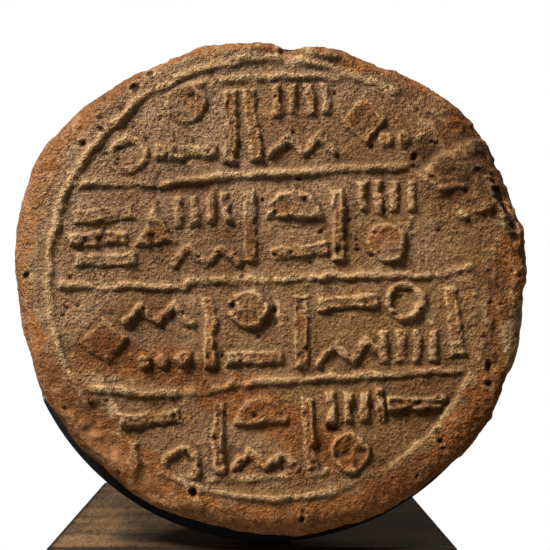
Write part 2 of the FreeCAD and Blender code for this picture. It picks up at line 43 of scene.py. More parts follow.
# The cone in millimetres, the same as in the CAD source. Depth runs backwards from the stamped face.
coneSize = {
    "x": 3.3, "z": 70.97, "faceY": -88.0,  # the axis and the stamped face
    "stampRise": 1.9,  # stamp centre above the axis
    "faceRadius": 42.6, "shoulder": 5.0,  # the flat face, and the depth at which the rim is fully round
    "wideRadius": 45.8, "taper": 0.18222,  # behind the flare, and what it loses in each millimetre
    "swellEnd": 40.0, "flareEnd": 7.0, "flareRise": 0.6,
    "length": 185.0, "tailRound": 9.0,
    "lobes": [(3.1, 149, 27), (2.1, 34, 24), (0.9, 8, 18), (-1.4, 256, 22), (-1.3, 84, 8)],  # rise, direction, spread
    "rimDirections": [  # and what the uneven rim adds in each, in rimExtras
        0, 4, 8, 12, 16, 20, 24, 28, 32, 36, 40, 44, 48, 52, 56, 60, 64, 68, 72, 76, 80, 84, 88, 92, 96, 100, 104,
        112, 120, 128, 136, 144, 152, 160, 168, 176, 184, 192, 200, 208, 216, 228, 240, 252, 258, 270, 276, 288,
        300, 312, 324, 330, 335, 340, 345, 350, 355],
    "rimExtras": [
        -0.12, -0.06, -0.23, 0.16, -0.15, -0.48, -0.49, -0.14, 0.12, 0.38, 0.82, 0.91, 0.48, 0.54, 0.36, -0.02,
        -0.91, -1.05, -0.42, -0.3, -0.28, -0.66, -0.14, -0.46, -0.56, -0.22, 0.02, -0.14, -0.47, -0.41, -0.12,
        -0.06, -0.15, -0.54, -0.47, -0.14, -0.29, -0.64, -0.25, -0.27, -0.35, -0.5, -0.2, 0, -0.1, 0.1, 0.2, -0.6,
        -0.2, -0.5, 0.3, 1.02, 0.19, 0.1, 0.2, 0.05, 0.03],
    "gridCells": 264, "flatShare": 0.85,  # cells along the face's grid, and the share of its radius that is flat
}
coneX, coneZ, faceY = coneSize["x"], coneSize["z"], coneSize["faceY"]


def lattice(x, y, z, seed):  # mixes the bits of four whole numbers into one number from 0 to 1
    mixed = (x * 73856093) ^ (y * 19349663) ^ (z * 83492791) ^ (seed * 2654435 + 97)
    mixed = mixed & 0x7FFFFFFF
    mixed = ((mixed ^ (mixed >> 15)) * 1103515245 + 12345) & 0x7FFFFFFF
    mixed = ((mixed ^ (mixed >> 13)) * 1274126177) & 0x7FFFFFFF
    return ((mixed ^ (mixed >> 16)) & 0xFFFFFF) / 0xFFFFFF


def noise(points, size, seed=0):  # the numbers at the eight corners of a point's cell, blended smoothly, from -1 to 1
    scaled = points / size + seed * 3.17
    corner = np.floor(scaled).astype(np.int64)
    part = scaled - corner
    part = part * part * part * (part * (part * 6 - 15) + 10)
    total = 0.0
    for dx in (0, 1):
        for dy in (0, 1):
            for dz in (0, 1):
                weight = 1.0
                for axis, step in enumerate((dx, dy, dz)):
                    weight = weight * (part[:, axis] if step else 1 - part[:, axis])
                total = total + weight * lattice(corner[:, 0] + dx, corner[:, 1] + dy, corner[:, 2] + dz, seed)
    return total * 2 - 1


def rough(points, size, octaves, seed=0):  # noise, plus half as much of about half the size, and so on
    total, share = 0.0, 1.0
    for octave in range(octaves):
        total = total + share * noise(points, size / 2.03**octave, seed + 11 * octave)
        share *= 0.5
    return total


# One scattered point in each cell: the distance to the nearest of them, in cells, and its number.
def spots(points, size, seed=0):
    scaled = points / size
    corner = np.floor(scaled).astype(np.int64)
    nearest = np.full(len(points), 9.0)
    number = np.zeros(len(points))
    steps = (-1, 0, 1)
    for dx in steps:
        for dy in steps:
            for dz in steps:
                cell = [corner[:, axis] + step for axis, step in enumerate((dx, dy, dz))]
                gaps = [cell[axis] + lattice(*cell, seed + axis) - scaled[:, axis] for axis in range(3)]
                apart = np.sqrt(gaps[0] ** 2 + gaps[1] ** 2 + gaps[2] ** 2)
                closer = apart < nearest
                nearest = np.where(closer, apart, nearest)
                number = np.where(closer, lattice(*cell, seed + 3), number)
    return nearest, number


def ramp(value, low, high):  # 0 before low, 1 after high, a smooth step between; low may be the larger
    part = np.clip((value - low) / (high - low), 0, 1)
    return part * part * (3 - 2 * part)


def rod(gap, half):  # across a ridge: half of it a parabola and half a smooth step, 1 along the middle
    return 0.5 * np.maximum(0, 1 - (gap / half) ** 2) + 0.5 * ramp(gap, half * 1.25, half * 0.3)


def around(direction, table):  # straight steps between the (direction, value) pairs, round the circle
    return np.interp(direction, [a for a, _ in table], [b for _, b in table], period=360)


def track(x, y, points):  # the distance to the nearest run of a line, and the share of the line that lies before it
    nearest = np.full(len(x), 1e9)
    along = np.zeros(len(x))
    lengths = [math.dist(a, b) for a, b in zip(points, points[1:])]
    done = 0.0
    for (ax, ay), (bx, by), length in zip(points, points[1:], lengths):
        part = np.clip(((x - ax) * (bx - ax) + (y - ay) * (by - ay)) / length**2, 0, 1)
        apart = np.hypot(x - ax - part * (bx - ax), y - ay - part * (by - ay))
        closer = apart < nearest
        nearest = np.where(closer, apart, nearest)
        along = np.where(closer, (done + part * length) / sum(lengths), along)
        done += length
    return nearest, along


def turned(x, y, degrees):  # places seen from axes turned this far anticlockwise
    c, s = math.cos(math.radians(degrees)), math.sin(math.radians(degrees))
    return x * c + y * s, y * c - x * s


def patch(x, y, spot):  # distance from an oval's middle, where its edge is 1
    centreX, centreY, halfLong, halfShort, turn = spot
    along, across = turned(x - centreX, y - centreY, turn)
    return np.hypot(along / halfLong, across / halfShort)


# The stamp: places are millimetres from its centre, to the right and up.
top, middle, bottom = 1, 0, -1
stamp = {
    "registerPitch": 19.0, "liftStep": 4.3, "columnPitch": 4.06, "turn": 3.3,
    "ringRadius": 40.6, "ringHalf": 1.0, "lineHalf": 0.95, "lineHeight": 0.78,
    "marks": [  # kind, column, register, and where it stands in the register
        ("ring", -6.0, 3, bottom), ("disc", -3.3, 3, top), ("slab", -3.5, 3, bottom), ("bar", -1.4, 3, middle),
        ("bar", -0.4, 3, middle), ("strokes", 1.8, 3, top), ("zigzag", 1.9, 3, bottom), ("lozenge", 4.6, 3, middle),
        ("dots", 6.5, 3, bottom), ("slab", -7.4, 2, top), ("slab", -7.6, 2, middle), ("slab", -7.4, 2, bottom),
        ("triangle", -5.0, 2, middle), ("strokes", -2.8, 2, top), ("zigzag", -2.8, 2, bottom),
        ("bar", -0.7, 2, middle), ("mound", 1.2, 2, top), ("slab", 1.3, 2, bottom), ("bar", 3.3, 2, middle),
        ("strokes", 5.5, 2, top), ("disc", 5.4, 2, bottom), ("lozenge", -7.6, 1, middle), ("zigzag", -5.1, 1, top),
        ("dots", -5.1, 1, bottom), ("bar", -2.9, 1, middle), ("disc", -1.0, 1, top), ("slab", -0.9, 1, bottom),
        ("bar", 1.2, 1, middle), ("slab", 3.5, 1, top), ("zigzag", 3.5, 1, bottom), ("ring", 6.1, 1, top),
        ("strokes", 6.1, 1, bottom), ("bar", 8.2, 1, middle), ("slab", -5.7, 0, top), ("ring", -4.5, 0, bottom),
        ("bar", -2.7, 0, middle), ("mound", -0.8, 0, top), ("zigzag", -0.7, 0, bottom), ("bar", 1.4, 0, middle),
        ("strokes", 3.6, 0, top), ("disc", 3.2, 0, bottom), ("slab", 6.3, 0, top)],
    "ruledLines": [  # strength and course
        (1.0, [(-18.0, 35.1), (-8.8, 36.4), (2.6, 37.3), (13.2, 37.3), (20.2, 36.0), (23.9, 34.0)]),
        (1.0, [(-36.4, 17.3), (-22.0, 18.0), (-19.9, 17.3), (-17.4, 18.2), (-3.7, 19.1), (12.9, 20.2), (26.6, 20.9)]),
        (1.0, [(-39.5, -1.3), (-22.9, -1.3), (-16.0, -1.6), (-14.7, -0.4), (-6.1, -0.2), (11.9, 0.6), (30.3, 0.9),
               (38.6, 2.8)]),
        (1.0, [(-34.0, -20.2), (-20.2, -20.9), (-9.0, -20.0), (-1.8, -18.7), (4.0, -18.5), (20.2, -17.6),
               (37.1, -16.5)]),
        (0.5, [(-11.9, -36.7), (0.0, -36.2), (11.0, -35.2)])],
    "ringWear": [  # direction and what is left of the border ring
        (0, 0.1), (20, 0.08), (45, 0.12), (60, 0.4), (70, 0.7), (90, 0.95), (120, 1.05), (150, 1), (180, 1),
        (188, 0.9), (195, 0.5), (205, 0.3), (235, 0.25), (248, 0.6), (262, 0.85), (275, 0.8), (286, 0.7),
        (293, 0.35), (300, 0.1), (345, 0.1)],
    "edgeStep": [  # direction and how high the clay pushed up round the stamp stands above it
        (192, 0), (198, 0.5), (210, 0.6), (222, 0), (299, 0), (304, 0.85), (333, 0.85), (337, 0)],
}


def boxEdge(x, y, wide, high):  # distance outside a box, and minus the distance to the nearest side inside it
    dx, dy = np.abs(x) - wide / 2, np.abs(y) - high / 2
    return np.hypot(np.maximum(dx, 0), np.maximum(dy, 0)) + np.minimum(np.maximum(dx, dy), 0)


def markEdge(kind, x, y):  # distance outside a mark, negative inside
    away = np.hypot(x, y)
    if kind == "disc":
        return away - 3.6
    if kind == "ring":
        return np.abs(away - 2.95) - 0.65
    if kind == "slab":
        return boxEdge(x, y, 11, 2.3)
    if kind == "bar":
        return boxEdge(x, y, 2.3, 13)
    if kind == "strokes":  # four upright boxes side by side
        return np.minimum.reduce([boxEdge(x - at, y, 1.4, 5.4) for at in (-4.5, -1.5, 1.5, 4.5)])
    if kind == "dots":
        return np.minimum.reduce([np.hypot(x - at, y) for at in (-3.6, 0, 3.6)]) - 1.3
    if kind == "zigzag":  # a line of four runs, up and down by turns
        return track(x, y, [(2.97 * (k - 2), 1.48 * (-1) ** (k + 1)) for k in range(5)])[0] - 0.7
    if kind == "lozenge":
        return (np.abs(x) + np.abs(y) - 4.2) / math.sqrt(2)
    if kind == "triangle":  # the farthest of three sides
        sides = [math.radians(a) for a in (-90, 30, 150)]
        return np.maximum.reduce([x * math.cos(a) + y * math.sin(a) for a in sides]) - 2.2
    return np.maximum(np.hypot(x, y + 2.5) - 5, -(y + 2.5))  # a mound: the upper half of a disc


def lobeRise(direction):  # the sum of bell curves round the rim
    apart = lambda centre: (direction - centre + 180) % 360 - 180
    return sum(rise * np.exp(-((apart(centre) / spread) ** 2)) for rise, centre, spread in coneSize["lobes"])


# The taper less the round tail, plus a flare that falls off as a square, plus the rim's swellings, which die out
# as a cubic step over swellEnd. The small ones die out sooner.
def bodyRadius(depth, direction):
    size = coneSize
    behindShoulder = depth - size["shoulder"]
    early = np.clip(behindShoulder / size["swellEnd"], 0, 1)
    flare = size["flareRise"] * np.maximum(0, 1 - behindShoulder / size["flareEnd"]) ** 2
    extra = np.interp(direction, size["rimDirections"], size["rimExtras"], period=360)
    swell = (lobeRise(direction) + extra * (1 - early) ** 4) * (1 - early) ** 2 * (1 + 2 * early)
    tail = size["tailRound"]
    straight = size["wideRadius"] - (np.minimum(depth, size["length"] - tail) - size["shoulder"]) * size["taper"]
    over = np.clip(depth - size["length"] + tail, 0, tail)
    return straight + flare + swell - (tail - np.sqrt(tail**2 - over**2))


def roundGrid(cells):  # a square grid as a disc: each square ring becomes a circle, its points spread evenly round it
    line = np.linspace(-1, 1, cells + 1)
    across, up = [part.ravel() for part in np.meshgrid(line, line, indexing="ij")]
    sideways = np.abs(across) > np.abs(up)
    reach = np.where(sideways, across, up)
    safe = np.where(reach == 0, 1, reach)
    bend = np.where(sideways, math.pi / 4 * up / safe, math.pi / 2 - math.pi / 4 * across / safe)
    return reach * np.cos(bend), reach * np.sin(bend)


# The face: flat out to its radius, then a quarter turn that takes it out to the rim and back to the shoulder.
def facePoints(discX, discZ):
    size = coneSize
    share = np.hypot(discX, discZ)
    direction = np.degrees(np.arctan2(discZ, discX)) % 360
    turn = np.radians(direction)
    flat = np.minimum(share / size["flatShare"], 1) * size["faceRadius"]
    quarter = np.clip((share - size["flatShare"]) / (1 - size["flatShare"]), 0, 1) * math.pi / 2
    rim = bodyRadius(np.full_like(direction, size["shoulder"]), direction)
    lift = np.sin(quarter)
    x = coneX + flat * np.cos(turn) * (1 - lift) + rim * np.cos(turn) * lift
    z = coneZ + (flat * np.sin(turn) + size["stampRise"]) * (1 - lift) + rim * np.sin(turn) * lift
    return np.stack([x, size["shoulder"] * (1 - np.cos(quarter)), z], 1)


# The whole cone: the face's grid, then rings of bodyRadius at each depth, with every point, every second or every
# fourth one kept, and a point at the middle of the tail.
def coneSurface():
    cells, length, tail = coneSize["gridCells"], coneSize["length"], coneSize["tailRound"]
    discX, discZ = roundGrid(cells)
    places = [facePoints(discX, discZ)]
    square = np.arange((cells + 1) ** 2).reshape(cells + 1, cells + 1)
    quads = [np.stack([square[:-1, :-1], square[1:, :-1], square[1:, 1:], square[:-1, 1:]], -1).reshape(-1, 4)]
    triangles = []
    outer = np.unique(np.concatenate([square[0], square[-1], square[:, 0], square[:, -1]]))
    outer = outer[np.argsort(np.arctan2(discZ[outer], discX[outer]) % (2 * math.pi - 1e-6))]
    directions = np.arange(len(outer)) * 360 / len(outer)
    rows = [(depth, 1) for depth in (5.7, 6.5)] + [(depth, 2) for depth in np.linspace(7.5, 24, 13)]
    rows += [(depth, 4) for depth in np.linspace(26.2, length - tail, 62)]
    rows += [(length - tail * (1 - math.sin(math.radians(a))), 4) for a in (18, 36, 52, 66, 77, 85)]
    count, before, beforeStep = len(square) ** 2, outer, 1
    for depth, step in rows:
        kept = directions[::step]
        radius, turn = bodyRadius(np.full(len(kept), depth), kept), np.radians(kept)
        row = [coneX + radius * np.cos(turn), np.full(len(kept), depth), coneZ + radius * np.sin(turn)]
        places.append(np.stack(row, 1))
        now = count + np.arange(len(kept))
        after = np.roll(now, -1)
        if step == beforeStep:
            quads.append(np.stack([before, now, after, np.roll(before, -1)], 1))
        else:  # two edges in front meet one edge behind
            first, second, third = before[::2], before[1::2], np.roll(before[::2], -1)
            for corners in ((first, now, second), (second, after, third), (second, now, after)):
                triangles.append(np.stack(corners, 1))
        count += len(kept)
        before, beforeStep = now, step
    places.append(np.array([[coneX, length, coneZ]]))
    triangles.append(np.stack([before, np.full(len(before), count), np.roll(before, -1)], 1))
    return np.concatenate(places), np.concatenate(quads), np.concatenate(triangles)


# A point's normal: the sum of the cross products of the faces that meet there, made one unit long.
def outwards(points, quads, triangles):
    normals = np.zeros_like(points)
    for corners in (quads[:, [0, 1, 2]], quads[:, [0, 2, 3]], triangles):
        a, b, c = (points[corners[:, k]] for k in range(3))
        facing = np.cross(b - a, c - a)
        for k in range(3):
            for axis in range(3):
                normals[:, axis] += np.bincount(corners[:, k], facing[:, axis], len(points))
    return normals / np.maximum(np.linalg.norm(normals, axis=1, keepdims=True), 1e-12)


places, quads, triangles = coneSurface()
normals = outwards(places, quads, triangles)
print("cone laid out:", len(places), "points,", 2 * len(quads) + len(triangles), "triangles")

# Wear. Places are millimetres from the stamp's centre; an oval is its place, half length, half width and turn.
coneWear = {
    "chalkyFlank": (46.0, -12.0, 3.6, 9.0, 3), "lump": (37.5, 15.5, 7.0, 7.5, 25),
    "wornLump": (34.5, 24.5, 9.5, 7.0, 25),
    "dents": [  # oval, depth (negative stands out), how sharp its edge is
        ((27.5, 31.5, 7.5, 4.2, -38), 0.6, 0.2), ((-31.8, -26.6, 9.5, 3.6, -46), 1.2, 0.2),
        ((-25.0, -32.3, 1.4, 4.6, 4), -0.8, 0.3), ((-20.5, -38.5, 6.5, 3.2, -30), 0.8, 0.25),
        ((43.0, 1.4, 1.9, 5.2, 4), 0.35, 0.4), ((43.9, 14.0, 1.1, 3.2, 14), 0.5, 0.4),
        ((40.4, -16.0, 0.7, 1.1, 0), 0.9, 0.5), ((3.6, 42.0, 2.4, 2.2, 0), 1.4, 0.5),
        ((-4.8, 42.4, 5.4, 2.0, 4), -0.7, 0.4), ((9.6, 42.4, 4.2, 2.2, -8), -0.55, 0.4),
        ((41.6, -11.0, 1.4, 6.5, 3), 0.3, 0.3), ((40.4, -9.5, 0.7, 6.0, 3), -0.3, 0.3),
        ((-5.9, -33.0, 5.5, 3.0, 0), 0.45, 0.3), ((13.5, -32.0, 6.0, 3.4, -12), 0.45, 0.3),
        ((38.8, 13.2, 2.4, 1.1, 20), -0.45, 0.5), ((35.6, 11.8, 1.3, 1.2, 0), -0.4, 0.5),
        ((33.4, 17.0, 3.4, 0.8, 8), -0.4, 0.5)],
    "scarps": [  # place, turn, half length; the rise behind the edge and its reach; the hollow before it and its reach
        ((33.7, 24.2), 27, 7.6, 0.95, 9.0, 0.85, 7.0), ((-28.5, -22.5), -66, 7.0, 0.35, 4.0, 0.2, 3.0)],
    "holes": [  # place, radius, depth
        (-34.5, 24.8, 0.6, 1.0), (-24.8, 35.1, 0.6, 0.9), (-30.8, 27.4, 0.45, 0.8), (-22.0, 37.6, 0.5, 0.8),
        (-44.8, 0.6, 0.6, 0.8), (-7.0, -5.0, 0.8, 1.2), (0.9, -5.9, 0.5, 0.9), (-14.0, -38.9, 0.75, 1.5),
        (5.9, -44.4, 0.5, 1.1), (31.0, -29.6, 0.5, 0.8), (26.6, 22.5, 0.7, 0.9), (11.6, -27.4, 0.7, 0.8),
        (40.2, -19.4, 0.6, 0.8), (40.6, -4.4, 0.4, 0.6), (42.3, -4.6, 0.4, 0.5), (43.4, 2.6, 0.35, 0.6),
        (44.3, 1.4, 0.3, 0.6)],
    "crevices": [  # course, half width, depth, and how dark its painted shade is
        ([(41.8, 16.4), (43.8, 12.6), (45.4, 9.6)], 0.8, 0.8, 0.95),
        ([(40.6, 3.2), (40.4, -8.0), (40.0, -19.4)], 0.6, 0.1, 0.45)],
    "cracks": [
        [(26.6, 20.7), (28.3, 19.6), (30.3, 18.3)], [(-20.2, 19.3), (-20.9, 15.6), (-19.6, 12.0)],
        [(-7.2, -3.6), (-5.9, -6.2)], [(0.4, -3.6), (1.1, -8.0)], [(26.0, 44.0), (30.0, 38.0)]],
    "crackDepth": 0.4, "pitDepth": 0.45,
    "fullness": [  # direction, and the share of its depth by which the rim comes forward
        (0, 0.38), (10, 0.3), (22, 0), (285, 0), (304, 0.5), (338, 0.5), (350, 0.42)],
    "facetTurn": 47, "facetStart": 39.5, "facetSlope": 0.55,  # the rim falls away towards the upper right
    "seats": [(18, 14, 8), (120, 13, 7)],  # depth of each pad, and where its smooth seat ends and is full
}

depth = places[:, 1]
u, v = places[:, 0] - coneX, places[:, 2] - coneZ - coneSize["stampRise"]
away, direction = np.hypot(u, v), np.degrees(np.arctan2(v, u)) % 360
axisDirection = np.degrees(np.arctan2(places[:, 2] - coneZ, u)) % 360
front = 1 - ramp(depth, 4.6, 9)
onFlat = np.stack([u, v, 0 * u], 1)
x = u + 0.36 * noise(onFlat, 2.6, 1) + 0.22 * noise(onFlat, 1.1, 2)  # hand-cut lines wander
y = v + 0.36 * noise(onFlat, 2.6, 3) + 0.22 * noise(onFlat, 1.1, 4)
broken = rough(places, 2.6, 3, 5)  # for frayed edges and patchy tints
nearFace = ramp(depth + 3 * broken, 12, 4)


def oval(spot, fray, outer, inner):  # 1 inside a frayed oval, 0 outside, with a soft edge between these two sizes
    return ramp(patch(x, y, spot) + fray * broken, outer, inner)


forward = np.zeros(len(u))  # towards the camera, while height stands along the normal
height = 0.3 * noise(places, 13, 6) + 0.2 * noise(places, 5.4, 7) + 0.15 * noise(places, 2.3, 8)
coarse = 0.65 + 0.6 * ramp(u + 3 * broken, 24, 38)  # rougher at the right, along the lower rim and in patches
coarse = coarse + 0.6 * ramp(away + broken, 41, 43) * ramp(np.abs(direction - 60), 70, 40)
coarse = coarse + 0.5 * ramp(broken + 0.6 * noise(places, 9, 14), 0.3, 0.9)
chalky = oval(coneWear["chalkyFlank"], 0.2, 1.15, 0.7)  # the clean broken flank
coarse = coarse * (1 - 0.7 * chalky) * (1 - 0.5 * ramp(depth, 5, 12))
height = height + coarse * (0.22 * (0.3 - np.abs(noise(places, 1.7, 9))) + 0.1 * noise(places, 0.85, 10))

lines = np.zeros(len(u))
for number, (strength, course) in enumerate(stamp["ruledLines"]):
    gap, along = track(x, y + 0.25 * noise(onFlat, 5.5, 20 + number), course)
    gone = ramp(noise(onFlat, 3.4, 30 + number), 0.62, 0.4)
    ends = ramp(along, 0.0, 0.02) * ramp(along, 1.0, 0.97)
    ridge = rod(gap, stamp["lineHalf"]) * (0.85 + 0.3 * noise(onFlat, 3.1, 40 + number))
    lines = np.maximum(lines, ridge * strength * (0.35 + 0.65 * gone) * ends)
sagging = 0.5 * ramp(direction, 235, 260) * ramp(direction, 300, 280)
ringGap = np.abs(np.hypot(x, y) - stamp["ringRadius"] - 0.35 * noise(onFlat, 9, 50) + sagging)
ringLine = rod(ringGap, stamp["ringHalf"]) * around(direction, stamp["ringWear"])
lines = np.maximum(lines, ringLine * (0.85 + 0.3 * noise(onFlat, 3.6, 51)) * front)

raised, edgeRubAndHighlight = np.zeros(len(u)), np.zeros(len(u))
chipped = 0.3 * np.abs(noise(onFlat, 1.3, 16)) - 0.1 + 0.25 * ramp(noise(onFlat, 2.1, 17), 0.3, 0.8)
stampX, stampY = turned(x, y, stamp["turn"])
draw = np.random.default_rng(11)
for kind, column, register, stand in stamp["marks"]:
    slip, tilt, strength = draw.uniform(-0.35, 0.35, 2), draw.uniform(-4, 4), draw.uniform(0.75, 1.15)
    markX = stampX - column * stamp["columnPitch"] - slip[0]
    markY = stampY - (register - 1.5) * stamp["registerPitch"] - stand * stamp["liftStep"] - slip[1]
    markX, markY = turned(markX, markY, tilt)
    near = (np.abs(markX) < 9) & (np.abs(markY) < 9)
    edge = markEdge(kind, markX[near], markY[near]) + chipped[near]
    strength = strength * (1.3 if kind == "disc" else 1.0)
    crown = ramp(edge, 0.34, -0.34) * (1 - 0.16 * ramp(edge, -0.35, -0.95))  # a little lower inside its edge
    # a pale band just inside each mark's edge: painted highlight, partly rubbed wear
    edgeRubAndHighlight[near] = np.maximum(edgeRubAndHighlight[near], strength * ramp(np.abs(edge + 0.2), 0.5, 0.1))
    raised[near] = np.maximum(raised[near], crown * strength)
inRing = ramp(away, 39.8, 38.6) * front
kept = inRing * (1 - 0.85 * oval(coneWear["wornLump"], 0, 1.1, 0.75))
edgeRubAndHighlight, raised = edgeRubAndHighlight * kept, raised * kept
lines = lines * np.maximum(inRing, ramp(away, 39, 40))
wear = np.clip(0.95 + 0.32 * noise(onFlat, 6.5, 60) + 0.2 * noise(onFlat, 2.7, 61), 0.55, 1.25)
pitted = ramp(raised, 0.5, 0.85)  # the tops, whose skin is gone
crumbs = 0.4 * (np.abs(noise(onFlat, 1.25, 66)) - 0.25) + 0.38 * ramp(rough(onFlat, 1.5, 2, 62), 0.2, 0.75)
crumbs = pitted * crumbs
forward = forward + (np.maximum(raised, lines * stamp["lineHeight"]) * wear - crumbs) * front
forward = forward + around(direction, stamp["edgeStep"]) * ramp(np.hypot(x, y), 39.8, 40.5) * front

for spot, sunk, crisp in coneWear["dents"]:
    forward = forward - sunk * oval(spot, 0.16, 1.12, 1.12 - 0.95 * (1.1 - crisp)) * front
for (centreX, centreY), turn, half, rise, rearReach, hollow, foreReach in coneWear["scarps"]:
    along, ahead = turned(x - centreX, y - centreY, turn)
    within = ramp(np.abs(along + 0.9 * broken), half * 1.15, half * 0.6) * front
    upper = ramp(ahead + 0.5 * broken + 0.02 * along**2, 0.5, -0.5)
    raisedPart = rise * upper * ramp(ahead, -rearReach, -0.2 * rearReach)
    hollowPart = hollow * (1 - upper) * ramp(ahead, foreReach, 0.1 * foreReach)
    forward = forward + within * (raisedPart - hollowPart)
# painted shade: the crumbled tops are darkened where they sink, and so are the holes and crevices below
paintedShadeAndBurns = 0.75 * ramp(crumbs, 0.2, 0.42) * front
for holeX, holeY, radius, sunk in coneWear["holes"]:
    hole = ramp(np.hypot(x - holeX, y - holeY) / radius + 0.35 * broken, 1.35, 0.5) * front
    forward, paintedShadeAndBurns = forward - sunk * hole, np.maximum(paintedShadeAndBurns, 0.8 * hole)
for course, half, sunk, shade in coneWear["crevices"]:
    gap = track(x + 0.3 * broken, y + 0.3 * broken, course)[0]
    crevice = ramp(gap / half + 0.5 * broken, 1.2, 0.4) * front
    forward, paintedShadeAndBurns = forward - sunk * crevice, np.maximum(paintedShadeAndBurns, shade * crevice)
for course in coneWear["cracks"]:
    forward = forward - coneWear["crackDepth"] * ramp(track(x, y, course)[0], 0.42, 0.12) * front

# the rim: fuller at the lower right, sloping at the lower left, lumpy at the top, broken along the right
forward = forward + depth * around(direction, coneWear["fullness"]) * front
sloping = ramp(away, 36.5, 43.5) * ramp(direction, 192, 208) * ramp(direction, 246, 232)
forward = forward - 1.5 * sloping * front
lumpy = ramp(away, 40.8, 42.5) * front
height = height + lumpy * (0.3 + 0.7 * ramp(np.abs(direction - 85), 45, 15)) * 0.5 * rough(places, 5.2, 2, 70)
rightSide = np.maximum(ramp(direction, 72, 58) * ramp(direction, -1, 2), ramp(direction, 336, 345))
height = height + lumpy * rightSide * 0.2 * rough(places, 4.4, 2, 71)
lumps = 0.55 * (0.35 - np.abs(noise(places, 3.1, 72))) + 0.3 * (0.3 - np.abs(noise(places, 1.5, 73)))
height = height + oval(coneWear["lump"], 0, 1.15, 0.7) * lumps * front
facet = turned(u, v, coneWear["facetTurn"])[0]
forward = forward - coneWear["facetSlope"] * np.clip(facet - coneWear["facetStart"], 0, 6) * front

pitGap, pitNumber = spots(places, 2.1, 80)
pits = ramp(pitGap, 0.26, 0.1) * (pitNumber > 0.75)
height = height - coneWear["pitDepth"] * pits
# painted shade in the pits
paintedShadeAndBurns = np.maximum(paintedShadeAndBurns, 0.55 * pits)

# behind the face: drawn-out finger marks, dents, spalls, and smooth seats on the pads
behind = ramp(depth, 5.5, 15)
long = places * np.array([1, 0.16, 1])
streaks = 0.5 * noise(long, 7.5, 90) + 0.3 * noise(long, 3.1, 91)
streaks = streaks + 0.16 * noise(long * np.array([1, 1.6, 1]), 1.5, 92)
dent = 0.5 * rough(places * np.array([1, 0.6, 1]), 17, 2, 93)
seated = np.maximum.reduce([ramp(np.abs(depth - seat), ends, full) for seat, ends, full in coneWear["seats"]])
seated = seated * ramp(np.abs(axisDirection - 270), 78, 66)
spallGap, spallNumber = spots(places + 1.5 * noise(places, 5, 94)[:, None], 17, 95)
spalls = ramp(spallGap, 0.34, 0.22) * (spallNumber > 0.6)
height = height + behind * ((streaks + dent - 0.35 - 0.8 * spalls) * (1 - seated) - 0.15 * seated)
print("wear worked out, heights", round(float(height.min()), 2), "to", round(float(height.max()), 2), "mm")

# Tints, each from 0 to 1.
coneTints = {
    "stain": [(-34.9, -12.9), (-15.6, -17.4), (-4.2, -22.9), (2.8, -26.6), (11.0, -31.2)],
    "rustStart": [  # direction and the radius at which the bare rusty rim begins
        (5, 41.5), (20, 44.0), (48, 44.0), (58, 42.0), (67, 40.4), (85, 41.0), (120, 42.6), (190, 42.4),
        (203, 40.2), (212, 37.6), (235, 37.6), (252, 40.2)],
    "rimRust": [  # direction and strength
        (0, 0.2), (20, -0.4), (45, 0.4), (65, 0.9), (90, 0.9), (150, 0.35), (190, 0.5), (205, 1.5), (215, 1.6),
        (270, 1.5), (320, 1.6), (345, 0.4)],
    "rust": [  # oval, strength, fray, outer and inner edge, and how far back it runs
        ((29.8, 26.5, 8.0, 4.0, 20), 0.22, 0.25, 1.2, 0.6, front),
        ((36.6, 18.4, 7.4, 5.4, 28), 0.1, 0.2, 1.15, 0.7, front),
        ((45.0, -11.0, 3.2, 10.0, 3), -0.55, 0.2, 1.15, 0.7, nearFace),
        ((43.4, 0.6, 2.9, 7.6, 3), 0.6, 0.25, 1.2, 0.8, front)],
    "rustLine": [(40.9, -4.0), (40.4, -19.5)],
    "burnsAndShade": [  # the same; the first darkens the hollow before the upper scarp as painted shade
        ((27.6, 22.6, 4.2, 1.7, 20), 0.4, 0.3, 1.2, 0.5, front),
        ((44.2, 9.6, 0.9, 2.6, 14), 0.7, 0.3, 1.2, 0.6, nearFace),
        ((41.6, 0.4, 1.8, 4.4, 4), 0.35, 0.3, 1.2, 0.6, front),
        ((38.0, 20.0, 7.5, 8.0, 28), 0.22, 0.35, 1.2, 0.5, front)],
    "soilAndShade": [  # oval and strength: soil, but the patch at (-29, -12) is a painted shadow and the one at (-28, 35) partly painted shade
        ((36.0, 24.0, 13.0, 11.0, 0), 1.0), ((-23.5, -8.5, 10.0, 6.5, -12), 0.85),
        ((21.0, -35.5, 11.0, 6.0, 12), 0.75), ((-12.0, 5.0, 16.0, 7.0, 0), 0.6), ((30.0, -22.0, 10.0, 10.0, 0), 0.7),
        ((22.0, 24.0, 14.0, 10.0, 0), 0.6), ((12.0, 8.0, 8.0, 6.0, 0), 0.3), ((-20.0, 15.0, 12.0, 8.0, 0), 0.6),
        ((39.0, 5.0, 5.5, 12.0, 0), 0.5), ((6.0, 26.0, 18.0, 7.0, 0), 0.5), ((-20.0, -27.0, 10.0, 7.0, -30), 0.3),
        ((-29.0, -12.0, 9.0, 6.0, 0), 0.9), ((-28.0, 35.0, 10.0, 4.0, 40), 0.6), ((-30.0, 4.0, 9.0, 8.0, 0), 0.4),
        ((2.0, -37.0, 14.0, 4.0, 0), 0.25)],
    "soiledLump": (38.0, 19.0, 7.5, 8.0, 28), "paleTop": (4.0, 43.0, 16.0, 3.5, 0),
    "chalkLine": [(39.8, 18.8), (41.9, 14.4), (43.8, 9.4)],
}
stain = track(x + 1.2 * broken, y + 1.2 * noise(places, 4, 100), coneTints["stain"])[0]
rust = 0.12 + 0.25 * ramp(rough(places, 8, 3, 101), -0.1, 0.9)
rust = rust + 0.55 * pitted * (0.7 + 0.9 * noise(onFlat, 3.3, 102)) * front
rust = rust + 0.18 * ramp(lines, 0.4, 0.9) * front
